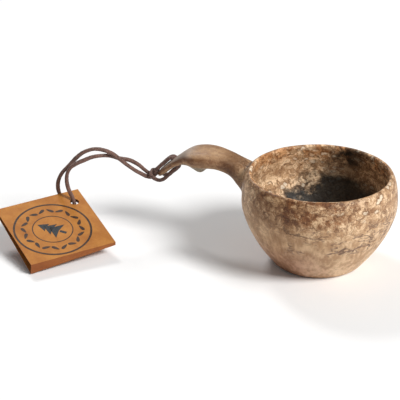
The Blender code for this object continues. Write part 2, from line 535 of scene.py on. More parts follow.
def mottle(graph: Graph, vector: Socket, patch: float, fibre: float) -> tuple[Socket, Socket, Socket]:
    """Place the shared mottle, which every finish of this object uses.

    Args:
        graph: the material's graph.
        vector: the pattern's coordinates.
        patch: the scale of the broad patches.
        fibre: the scale of the fine fibre.

    Returns:
        Its patches, fibre and sparse specks, all from 0 to 1.
    """
    group = bpy.data.node_groups.get("mottle") or new_group(
        "mottle",
        [("Vector", "NodeSocketVector", 0.0), ("Patch Scale", "NodeSocketFloat", 60.0),
         ("Fibre Scale", "NodeSocketFloat", 600.0)],
        ["Patches", "Fibre", "Specks"], draw_mottle,
    )
    node = graph.add("ShaderNodeGroup", node_tree=group)
    graph.feed(node.inputs["Vector"], vector)
    node.inputs["Patch Scale"].default_value = patch
    node.inputs["Fibre Scale"].default_value = fibre
    return node.outputs["Patches"], node.outputs["Fibre"], node.outputs["Specks"]


def new_material(name: str) -> tuple[bpy.types.Material, Graph, bpy.types.Node]:
    """Start a material.

    Args:
        name: the material's name.

    Returns:
        The material, its graph and its Principled shader.
    """
    material = bpy.data.materials.new(name)
    material.use_nodes = True
    return material, Graph(material.node_tree), material.node_tree.nodes["Principled BSDF"]


# ---------------------------------------------------------------- finishes


@dataclass(frozen=True)
class CupZones:
    """Where on the cup a point lies, for the wood's layers.

    Attributes:
        place: the point, in metres.
        warped: the point, pushed about.
        x: its place along the handle, negative towards the tip, in metres.
        y: its place across the handle, in metres.
        z: its height, in metres.
        across: its distance to the right of the bowl's axis, seen from the front, in metres.
        patches: the broad mottle there.
        fibre: the fine mottle there.
        inside: 1 on the bowl's inside and 0 elsewhere.
        outside: 1 everywhere but on the bowl's inside.
        handle: 1 on the handle and 0 on the bowl.
    """

    place: Socket
    warped: Socket
    x: Socket
    y: Socket
    z: Socket
    across: Socket
    patches: Socket
    fibre: Socket
    inside: Socket
    outside: Socket
    handle: Socket


@dataclass(frozen=True)
class BurlWood:
    """Oiled burl: mottled tan wood with russet blotches, pale flakes, fine cracks and a smoky stain that also
    carries painted shadow.

    A colour whose name ends in tint, and the smoke with its painted shadow, are multiplied onto what lies
    beneath.
    """

    pale: Colour = (0.79, 0.56, 0.35)
    tan: Colour = (0.46, 0.275, 0.145)
    brown: Colour = (0.17, 0.078, 0.031)
    bleached: Colour = (0.86, 0.72, 0.54)
    crack: Colour = (0.10, 0.048, 0.034)
    bump_grey: Colour = (0.21, 0.185, 0.125)
    # pale painted highlight on the top of the handle's tip
    tip_painted_highlight: Colour = (0.52, 0.44, 0.38)
    # painted shade: the outside's left side, away from the key light, is darkened in its colour
    left_painted_shade_tint: Colour = (0.70, 0.62, 0.53)
    plum_tint: Colour = (0.80, 0.70, 0.78)
    russet_tint: Colour = (0.41, 0.265, 0.17)
    handle_tint: Colour = (0.70, 0.63, 0.56)
    # painted shade where the handle's root meets the bowl
    root_painted_shade_tint: Colour = (0.64, 0.60, 0.56)
    # reddish painted shade on the handle's sides
    side_painted_shade_tint: Colour = (0.48, 0.37, 0.32)
    # painted light: brightens the bowl's inside, standing for the key light falling into it
    inside_painted_light_tint: Colour = (1.28, 1.32, 1.36)
    rim_tint: Colour = (0.80, 0.60, 0.44)
    # smoky stain, and painted shadow on the inside wall turned away from the key light
    smoke_and_painted_shadow: Colour = (0.030, 0.036, 0.042)
    front_turn: float = math.radians(24.0)

    def make(self) -> bpy.types.Material:
        """Build the wood material.

        Returns:
            The finished material.
        """
        material, graph, shader = new_material("burl_wood_oiled")
        place = graph.add("ShaderNodeTexCoord").outputs["Object"]
        warped = graph.pushed(place, 120.0, 3.0, 0.6, 0.012)
        patches, fibre, specks = mottle(graph, graph.stretched(warped, (1.0, 1.0, 1.5)), 150.0, 640.0)
        zones = self._zones(graph, place, warped, patches, fibre)
        height = graph.plus(zones.z, graph.times(patches, 0.010))
        smooth = graph.times(graph.span(height, 0.058, 0.034), zones.outside)
        smooth = graph.larger(smooth, graph.times(zones.handle, 0.8))
        coarse = graph.minus(1.0, graph.times(smooth, 0.85))
        veins = graph.times(self._veins(graph, warped, 105.0, 0.030), coarse)
        flakes, outlines = self._flakes(graph, zones)
        pits = graph.times(specks, coarse)
        cracks = self._cracks(graph, zones)
        base = self._ground(graph, zones, smooth)
        base = graph.mix(graph.times(graph.larger(veins, outlines), 0.62), base, self.brown)
        base = graph.mix(flakes, base, self.bleached)
        base = graph.mix(graph.times(pits, 0.75), base, self.brown)
        base = graph.mix(graph.times(cracks, 0.80), base, self.crack)
        for tinted in (self._outside_tints, self._handle_tints, self._inside_tints):
            base = tinted(graph, zones, base)
        # painted shadow and smoky stain laid over the bowl's inside
        base = graph.mix(self._stain_and_painted_shadow(graph, zones), base, self.smoke_and_painted_shadow, "MULTIPLY")
        graph.feed(shader.inputs["Base Color"], base)
        graph.feed(shader.inputs["Roughness"], graph.span(fibre, 0.0, 1.0, 0.40, 0.60))
        shader.inputs["Specular IOR Level"].default_value = 0.35
        grooves = graph.plus(cracks, graph.times(graph.plus(veins, pits), 0.5))
        relief = graph.minus(graph.times(fibre, 0.3), grooves)
        graph.feed(shader.inputs["Normal"], graph.bump(relief, 0.3 * MM, 0.8))
        return material

    def _zones(self, graph: Graph, place: Socket, warped: Socket, patches: Socket, fibre: Socket) -> CupZones:
        """Work out where on the cup a point lies.

        Args:
            graph: the material's graph.
            place: the point.
            warped: the point, pushed about.
            patches: the broad mottle there.
            fibre: the fine mottle there.

        Returns:
            The zones.
        """
        x, y, z = graph.split(place)
        across = graph.plus(graph.times(x, math.cos(self.front_turn)),
                            graph.times(y, math.sin(self.front_turn)))
        nx, ny, _ = graph.normal()
        outward = graph.plus(graph.times(x, nx), graph.times(y, ny))
        radius = graph.math("SQRT", graph.plus(graph.times(x, x), graph.times(y, y)))
        inside = graph.times(graph.span(outward, 0.0, 0.012, 1.0, 0.0), graph.span(radius, 0.049, 0.047),
                             graph.span(z, 0.003, 0.0045))
        return CupZones(place, warped, x, y, z, across, patches, fibre, inside,
                        outside=graph.minus(1.0, inside), handle=graph.span(x, -0.050, -0.062))

    def _veins(self, graph: Graph, place: Socket, scale: float, width: float) -> Socket:
        """Draw thin wandering lines, where a noise crosses its middle value.

        Args:
            graph: the material's graph.
            place: the pattern's coordinates.
            scale: the noise's scale.
            width: how far from its middle value the lines reach.

        Returns:
            1 on the lines and 0 between them.
        """
        wave = graph.math("ABSOLUTE", graph.minus(graph.noise(place, scale, 2.0), 0.5))
        return graph.span(wave, width, width * 0.25)

    def _ground(self, graph: Graph, zones: CupZones, smooth: Socket) -> Socket:
        """Draw the mottled ground colour, calmer and faintly grained where it is smooth.

        Args:
            graph: the material's graph.
            zones: where the point lies.
            smooth: 1 where the wood is smooth.

        Returns:
            The ground colour.
        """
        rough_tone = graph.plus(graph.times(zones.patches, 0.55), graph.times(zones.fibre, 0.45))
        upright = graph.noise(graph.stretched(zones.place, (1.0, 1.0, 0.10)), 380.0, 3.0, 0.6)
        lengthwise = graph.noise(graph.stretched(zones.place, (0.22, 1.0, 1.0)), 260.0, 4.0, 0.6)
        grain = graph.mix(zones.handle, upright, lengthwise)
        cloud = graph.noise(zones.place, 60.0, 3.0, 0.6)
        calm_tone = graph.plus(graph.times(grain, 0.45), graph.times(cloud, 0.55))
        tone = graph.plus(graph.times(rough_tone, graph.minus(1.0, smooth)),
                          graph.times(graph.span(calm_tone, 0.02, 0.92), smooth))
        base = graph.mix(graph.span(tone, 0.02, 0.40), self.brown, self.tan)
        return graph.mix(graph.span(tone, 0.40, 0.74), base, self.pale)

    def _outside_tints(self, graph: Graph, zones: CupZones, base: Socket) -> Socket:
        """Add painted shade on the left side, the plum foot and the russet blotches under the rim.

        Args:
            graph: the material's graph.
            zones: where the point lies.
            base: the colour beneath.

        Returns:
            The tinted colour.
        """
        drift = graph.times(graph.minus(graph.noise(zones.place, 45.0, 5.0, 0.65), 0.5), 0.06)
        side = graph.plus(zones.across, drift)
        # painted shade, darker towards the left of the outside as seen from the front
        left_shade = graph.times(graph.span(side, 0.022, -0.030), zones.outside,
                           graph.span(zones.across, -0.052, -0.030, 0.1, 1.0))
        base = graph.mix(left_shade, base, self.left_painted_shade_tint, "MULTIPLY")
        foot = graph.times(graph.span(zones.z, 0.036, 0.008), graph.span(side, 0.012, -0.016), zones.outside)
        base = graph.mix(foot, base, self.plum_tint, "MULTIPLY")
        blotch = graph.span(graph.noise(zones.place, 120.0, 7.0, 0.75), 0.44, 0.55)
        band = graph.times(graph.span(zones.z, 0.040, 0.052), graph.span(side, 0.030, 0.012, 0.30, 1.0),
                           graph.span(side, -0.048, -0.028, 0.35, 1.0))
        return graph.mix(graph.times(blotch, band, zones.outside), base, self.russet_tint, "MULTIPLY")

    def _handle_tints(self, graph: Graph, zones: CupZones, base: Socket) -> Socket:
        """Darken the handle, lay reddish painted shade on its sides and root, grey its finger bump and give
        its tip's top a pale painted highlight.

        Args:
            graph: the material's graph.
            zones: where the point lies.
            base: the colour beneath.

        Returns:
            The tinted colour.
        """
        base = graph.mix(zones.handle, base, self.handle_tint, "MULTIPLY")
        # painted shade in the crook where the handle's root meets the bowl
        root = graph.times(graph.span(zones.x, -0.072, -0.062), graph.span(zones.x, -0.044, -0.052))
        base = graph.mix(root, base, self.root_painted_shade_tint, "MULTIPLY")
        upward = graph.normal()[2]
        edge = graph.span(graph.math("ABSOLUTE", graph.minus(upward, 0.2)), 0.70, 0.35)
        # painted shade on the handle's sides, below its lit top
        side_shade = graph.times(edge, zones.handle, graph.span(zones.patches, 0.2, 0.7, 0.4, 1.0))
        base = graph.mix(side_shade, base, self.side_painted_shade_tint, "MULTIPLY")
        bump = graph.times(graph.span(zones.z, 0.058, 0.055), graph.span(zones.x, -0.078, -0.083),
                           graph.span(zones.x, -0.100, -0.094), 0.75)
        base = graph.mix(bump, base, self.bump_grey)
        # painted highlight on the upward faces of the handle's tip
        tip = graph.times(graph.span(zones.x, -0.086, -0.096), graph.span(upward, 0.2, 0.8), 0.6)
        return graph.mix(tip, base, self.tip_painted_highlight)

    def _inside_tints(self, graph: Graph, zones: CupZones, base: Socket) -> Socket:
        """Lighten the bowl's inside with painted light, spot it with dark flecks and redden it towards the
        rim.

        Args:
            graph: the material's graph.
            zones: where the point lies.
            base: the colour beneath.

        Returns:
            The tinted colour.
        """
        # painted light over the whole inside
        base = graph.mix(zones.inside, base, self.inside_painted_light_tint, "MULTIPLY")
        flecks = graph.span(graph.noise(zones.warped, 300.0, 3.0, 0.6), 0.58, 0.66)
        base = graph.mix(graph.times(flecks, zones.inside, 0.75), base, self.brown)
        blush = graph.span(graph.noise(zones.warped, 130.0, 4.0), 0.42, 0.56)
        warm = graph.times(graph.span(zones.z, 0.050, 0.059), blush, zones.inside)
        return graph.mix(warm, base, self.rim_tint, "MULTIPLY")

    def _flakes(self, graph: Graph, zones: CupZones) -> tuple[Socket, Socket]:
        """Scatter pale flakes over the inside and under the rim.

        Args:
            graph: the material's graph.
            zones: where the point lies.

        Returns:
            The flakes, and the dark outlines round them.
        """
        squashed = graph.stretched(graph.pushed(zones.place, 300.0, 2.0, 0.5, 0.0035), (1.0, 1.0, 1.6))
        distance = graph.cells(squashed, 165.0)
        chosen = graph.math("GREATER_THAN", graph.split(graph.cells(squashed, 165.0, "Color"))[0], 0.55)
        by_rim = graph.times(graph.span(zones.z, 0.046, 0.056), graph.span(zones.across, 0.000, 0.014))
        chosen = graph.times(chosen, graph.larger(graph.times(zones.inside, 0.8), by_rim))
        flakes = graph.times(graph.span(distance, 0.38, 0.26), chosen, 0.8)
        return flakes, graph.times(graph.span(distance, 0.56, 0.42), chosen)

    def _cracks(self, graph: Graph, zones: CupZones) -> Socket:
        """Draw the thin wavy cracks round the middle of the outside.

        Args:
            graph: the material's graph.
            zones: where the point lies.

        Returns:
            1 in the cracks and 0 beside them.
        """
        lying = graph.stretched(zones.place, (1.0, 1.0, 2.4))
        line = graph.larger(self._veins(graph, lying, 46.0, 0.026),
                            graph.times(self._veins(graph, lying, 84.0, 0.040), 0.75))
        broken = graph.span(graph.noise(zones.place, 80.0), 0.42, 0.56)
        band = graph.times(graph.span(zones.z, 0.018, 0.028), graph.span(zones.z, 0.052, 0.042),
                           graph.span(zones.across, -0.036, -0.018, 0.25, 1.0))
        return graph.times(line, broken, band, zones.outside)

    def _stain_and_painted_shadow(self, graph: Graph, zones: CupZones) -> Socket:
        """Draw the smoky stain and painted shadow that slant down the bowl's inside from its far rim.

        Args:
            graph: the material's graph.
            zones: where the point lies.

        Returns:
            The strength of the stain and its painted shadow.
        """
        cloud = graph.minus(graph.noise(zones.place, 110.0, 5.0, 0.68), 0.5)
        slant = graph.plus(zones.x, graph.times(graph.minus(0.0605, zones.z), 1.1))
        edge = graph.plus(slant, graph.times(cloud, 0.055))
        edge = graph.plus(edge, graph.times(graph.minus(0.5, zones.patches), 0.009))
        faded = graph.times(graph.span(zones.x, 0.004, 0.024), graph.span(zones.z, 0.032, 0.046),
                            graph.span(zones.patches, 0.2, 0.8, 0.58, 0.90))
        return graph.times(graph.span(edge, -0.014, 0.014), graph.minus(0.99, faded), zones.inside,
                           graph.span(zones.y, -0.030, 0.006, 0.30, 1.0))


@dataclass(frozen=True)
class LaceLeather:
    """Brown leather lace: fibres along its length, fine creases across it and paler fibres, partly wear and
    partly painted highlight.
    """

    deep: Colour = (0.028, 0.012, 0.009)
    mid: Colour = (0.135, 0.060, 0.042)
    # paler fibres: partly rubbed wear, partly painted highlight
    rubbed_and_highlight: Colour = (0.36, 0.20, 0.15)

    def make(self) -> bpy.types.Material:
        """Build the leather material.

        Returns:
            The finished material.
        """
        material, graph, shader = new_material("lace_leather_worn")
        around = graph.add("ShaderNodeAttribute", attribute_name="along_lace").outputs["Vector"]
        patches, fibre, _ = mottle(graph, graph.stretched(around, (1.0, 1.0, 0.22)), 0.9, 3.4)
        crease = graph.noise(graph.stretched(around, (0.35, 0.35, 2.2)), 2.2, 2.0)
        colour = graph.mix(patches, self.deep, self.mid)
        # paler fibres laid at random, partly wear and partly painted highlight
        colour = graph.mix(graph.times(fibre, 0.55), colour, self.rubbed_and_highlight)
        colour = graph.mix(graph.span(crease, 0.56, 0.70, 0.0, 0.55), colour, self.deep)
        graph.feed(shader.inputs["Base Color"], colour)
        graph.feed(shader.inputs["Roughness"], graph.span(fibre, 0.0, 1.0, 0.72, 0.52))
        shader.inputs["Sheen Weight"].default_value = 0.15
        shader.inputs["Sheen Roughness"].default_value = 0.5
        height = graph.minus(fibre, graph.times(crease, 0.8))
        graph.feed(shader.inputs["Normal"], graph.bump(height, 0.22 * MM, 0.8))
        return material


@dataclass(frozen=True)
class TagCard:
    """Orange-tan uncoated card with a faint cloudy grain, darker and redder on its spine and its underside
    from painted shade.
    """

    light: Colour = (0.50, 0.200, 0.030)
    deep: Colour = (0.36, 0.120, 0.012)
    cloudy: Colour = (0.40, 0.160, 0.030)
    # painted shade on faces turned away from upward: the spine and the underside
    fold_painted_shade_tint: Colour = (0.62, 0.46, 0.40)

    def make(self) -> bpy.types.Material:
        """Build the card material.

        Returns:
            The finished material.
        """
        material, graph, shader = new_material("tag_card_orange")
        place = graph.add("ShaderNodeTexCoord").outputs["Object"]
        patches, fibre, specks = mottle(graph, place, 95.0, 1500.0)
        colour = graph.mix(patches, self.deep, self.light)
        colour = graph.mix(graph.times(fibre, 0.35), colour, self.cloudy)
        colour = graph.mix(graph.times(specks, 0.25), colour, self.deep)
        # painted shade on the spine and underside, keyed to faces turned away from upward
        colour = graph.mix(graph.span(graph.normal()[2], 0.80, 0.40), colour, self.fold_painted_shade_tint, "MULTIPLY")
        graph.feed(shader.inputs["Base Color"], colour)
        graph.feed(shader.inputs["Roughness"], graph.span(fibre, 0.0, 1.0, 0.62, 0.8))
        graph.feed(shader.inputs["Normal"], graph.bump(fibre, 0.05 * MM, 0.6))
        return material


@dataclass(frozen=True)
class PrintInk:
    """Dark printing ink that lets a little of the card's grain through."""

    name: str
    full: Colour
    thin: Colour

    def make(self) -> bpy.types.Material:
        """Build the ink material.

        Returns:
            The finished material.
        """
        material, graph, shader = new_material(self.name)
        place = graph.add("ShaderNodeTexCoord").outputs["Object"]
        patches, fibre, _ = mottle(graph, place, 260.0, 1500.0)
        colour = graph.mix(graph.times(patches, fibre), self.full, self.thin)
        graph.feed(shader.inputs["Base Color"], colour)
        graph.feed(shader.inputs["Roughness"], graph.span(fibre, 0.0, 1.0, 0.5, 0.7))
        graph.feed(shader.inputs["Normal"], graph.bump(fibre, 0.03 * MM, 0.5))
        return material


# ---------------------------------------------------------------- the cup


@dataclass
class Cup:
    """The bowl and its handle, carved from one piece.

    Attributes:
        outer: the wall's outside, each point a radius and a height.
        lip: the rounded lip, likewise.
        inner: the wall's inside from the lip down, likewise.
        wall_middle_inset: how far inside the wall the handle's root ends.
        stations: the handle's distance from the bowl's axis, height, half width and half thickness.
        squareness: how far its oval section is drawn out towards a rectangle.
        voxel: the skin's fineness before it is softened.
        root_zone: inner and outer radius, half width and lowest height of the root that is blended.
        blend_margin: how far that zone draws in while it is blended.
        knife_facets: each layer of facets, with its fineness and its depth.
        bare_base: height up to which the base stays flat.
    """

    outer: tuple[tuple[float, float], ...] = (
        (27.6, 0.0), (30.3, 0.9), (33.4, 4.6), (39.1, 12.0), (45.0, 22.0), (49.5, 32.0),
        (51.9, 41.0), (52.0, 47.5), (51.2, 55.0), (49.8, 60.6), (48.5, 63.1),
    )
    lip: tuple[tuple[float, float], ...] = ((47.8, 63.7), (46.9, 63.9), (46.0, 63.6), (45.5, 62.8))
    inner: tuple[tuple[float, float], ...] = (
        (45.5, 61.5), (46.4, 57.0), (47.6, 51.0), (47.9, 45.5), (46.9, 38.5), (43.8, 29.5),
        (38.6, 20.5), (31.4, 12.2), (24.6, 7.4), (17.0, 5.2), (8.0, 4.8),
    )
    floor_thickness: float = 4.8
    wall_middle_inset: float = 1.7
    rim_height: float = 63.9
    stations: tuple[tuple[float, float, float, float], ...] = (
        (42.0, 48.0, 21.9, 11.9), (47.0, 50.0, 16.3, 9.7), (51.5, 52.2, 12.5, 8.4),
        (56.0, 55.3, 10.8, 7.5), (61.0, 57.7, 10.0, 6.5), (66.5, 59.6, 10.4, 6.3),
        (72.5, 60.7, 11.6, 6.1), (79.0, 61.0, 13.5, 6.1), (85.5, 60.8, 14.2, 5.9),
        (91.5, 60.1, 12.5, 5.4), (96.5, 58.0, 9.6, 4.4), (101.0, 55.6, 7.7, 3.3),
        (106.0, 52.4, 6.6, 2.7), (111.0, 48.2, 6.0, 2.5), (115.0, 44.2, 5.0, 2.3),
        (117.4, 41.7, 3.5, 1.8), (118.6, 40.3, 1.2, 0.7),
    )
    squareness: float = 2.3
    bump_place: float = 87.6
    bump_length: float = 6.4
    bump_half_width: float = 8.8
    bump_depth: float = 6.6
    hole_place: Point = (-105.0, 0.0, 53.1)
    hole_radius: float = 3.4
    hole_tilt: float = math.radians(38.7)
    segments: int = 160
    handle_sides: int = 64
    voxel: float = 0.85
    blend_rounds: int = 18
    root_zone: tuple[float, float, float, float] = (48.9, 59.0, 25.0, 30.0)
    blend_margin: float = 4.0
    knife_facets: tuple[tuple[float, float], ...] = ((75.0, 0.16), (210.0, 0.05))
    bare_base: float = 1.0
    finish: BurlWood = field(default_factory=BurlWood)

    def build(self) -> bpy.types.Object:
        """Carve the cup and dress it.

        Returns:
            The finished cup, which stands for the frame's plain one.
        """
        cup = add_piece("cup_carved", turned(self._wall_outline(), self.segments))
        handle = add_piece("handle_form", self._handle())
        combine(handle, add_piece("wall_form", turned(self._wall_middle(), self.segments)), "DIFFERENCE")
        combine(cup, handle, "UNION")
        remesh = cup.modifiers.new("even_skin", "REMESH")
        remesh.mode = "VOXEL"
        remesh.voxel_size = self.voxel * MM
        settle(cup)
        self._soften(cup)
        combine(cup, add_piece("hole_form", self._hole()), "DIFFERENCE")
        cup.data.shade_smooth()
        cup.data.set_sharp_from_angle(angle=math.radians(50.0))
        dress(cup, self.finish.make())
        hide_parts("cup_body")
        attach(cup, Body.CUP.value)
        return cup

    def _wall_outline(self) -> list[tuple[float, float]]:
        """Draw the bowl's wall: up the outside, over the lip and down the inside.

        Returns:
            The closed outline, in metres.
        """
        side = self._rounded(self.outer, 4)
        lip = self._rounded((self.outer[-1], *self.lip, self.inner[0]), 3)
        inside = self._rounded(self.inner, 4)
        middle = [(p.x, p.y) for p in [*side, *lip[1:-1], *inside]]
        return [(0.0, 0.0), *middle, (0.0, self.floor_thickness * MM)]

    def _rounded(self, outline: Sequence[tuple[float, float]], steps: int) -> list[Vector]:
        """Return a smooth curve, in metres, through an outline of radii and heights."""
        return smooth_curve([Vector((radius, height, 0.0)) * MM for radius, height in outline], steps)

    def _wall_middle(self) -> list[tuple[float, float]]:
        """Draw the form, inside the wall, that trims the handle's root.

        Returns:
            The closed outline, in metres.
        """
        inset = [(p.x - self.wall_middle_inset * MM, p.y) for p in self._rounded(self.outer, 4)]
        above = (self.rim_height + 10.0) * MM
        return [(0.0, -MM), (inset[0][0], -MM), *inset, (inset[-1][0], above), (0.0, above)]

    def _handle(self) -> bmesh.types.BMesh:
        """Draw the handle through its stations.

        Returns:
            The handle's closed skin.
        """
        path = smooth_curve([Vector((-r, 0.0, z)) * MM for r, z, _, _ in self.stations], 6)
        halves = [Vector((across, up, 0.1 * index)) for index, (_, _, across, up) in enumerate(self.stations)]
        sizes = smooth_curve([half * MM for half in halves], 6)
        rings = []
        for index, (centre, size) in enumerate(zip(path, sizes)):
            ahead = path[min(index + 1, len(path) - 1)]
            tangent = (ahead - path[max(index - 1, 0)]).normalized()
            rings.append(self._ring(centre, tangent, size.x, size.y))
        return lofted(rings)

    def _ring(self, centre: Vector, tangent: Vector, half_width: float, half_height: float) -> list[Vector]:
        """Draw one cross-section of the handle, with the finger bump beneath.

        Args:
            centre: the section's middle.
            tangent: the handle's direction there.
            half_width: half the width, in metres.
            half_height: half the thickness without the bump, in metres.

        Returns:
            The section's points in order.
        """
        upward = Vector((-tangent.z, 0.0, tangent.x))
        if upward.z < 0:
            upward.negate()
        reach = (-centre.x / MM - self.bump_place) / self.bump_length
        bump = self.bump_depth * MM * math.exp(-reach * reach)
        ring = []
        for side in range(self.handle_sides):
            angle = 2 * math.pi * side / self.handle_sides
            power = 2 / self.squareness
            across = math.copysign(abs(math.cos(angle)) ** power, math.cos(angle)) * half_width
            up = math.copysign(abs(math.sin(angle)) ** power, math.sin(angle)) * half_height
            if up < 0:
                spread = math.exp(-((across / MM / self.bump_half_width) ** 2))
                up -= bump * spread * min(1.0, -2 * up / half_height)
            ring.append(centre + upward * up + Vector((0.0, across, 0.0)))
        return ring

    def _hole(self) -> bmesh.types.BMesh:
        """Turn the round form that cuts the lace hole.

        Returns:
            The form.
        """
        builder = bmesh.new()
        turn = Matrix.Translation(Vector(self.hole_place) * MM) @ Matrix.Rotation(-self.hole_tilt, 4, "Y")
        bmesh.ops.create_cone(builder, cap_ends=True, segments=48, radius1=self.hole_radius * MM,
                              radius2=self.hole_radius * MM, depth=30 * MM, matrix=turn)
        return builder

    def _soften(self, cup: bpy.types.Object) -> None:
        """Blend the handle's root into the bowl and leave the faint facets of a knife.

        Args:
            cup: the cup, as one even skin.
        """
        every_axis = {"use_axis_x": True, "use_axis_y": True, "use_axis_z": True}
        inner, outer, half_width, lowest = self.root_zone
        builder = bmesh.new()
        builder.from_mesh(cup.data)
        root = []
        for vertex in builder.verts:
            radius = math.hypot(vertex.co.x, vertex.co.y) / MM
            by_handle = vertex.co.x < 0.0 and abs(vertex.co.y) < half_width * MM
            if by_handle and inner < radius < outer and vertex.co.z > lowest * MM:
                root.append((vertex, radius))
        for turn in range(self.blend_rounds):
            margin = self.blend_margin * turn / self.blend_rounds
            chosen = [v for v, radius in root if inner + margin * 0.3 < radius < outer - margin
                      and abs(v.co.y) < (half_width - margin) * MM and v.co.z > (lowest + margin) * MM]
            bmesh.ops.smooth_vert(builder, verts=chosen, factor=0.5, **every_axis)
        above_base = [v for v in builder.verts if v.co.z > (self.bare_base + 0.5) * MM]
        bmesh.ops.smooth_vert(builder, verts=above_base, factor=0.4, **every_axis)
        builder.normal_update()
        for vertex in builder.verts:
            rise = min(1.0, max(0.0, (vertex.co.z / MM - self.bare_base) / 4.0))
            facet = sum(noise.noise(vertex.co * fineness) * depth for fineness, depth in self.knife_facets)
            vertex.co += vertex.normal * (facet * rise * MM)
        builder.to_mesh(cup.data)
        builder.free()


# ---------------------------------------------------------------- the lace


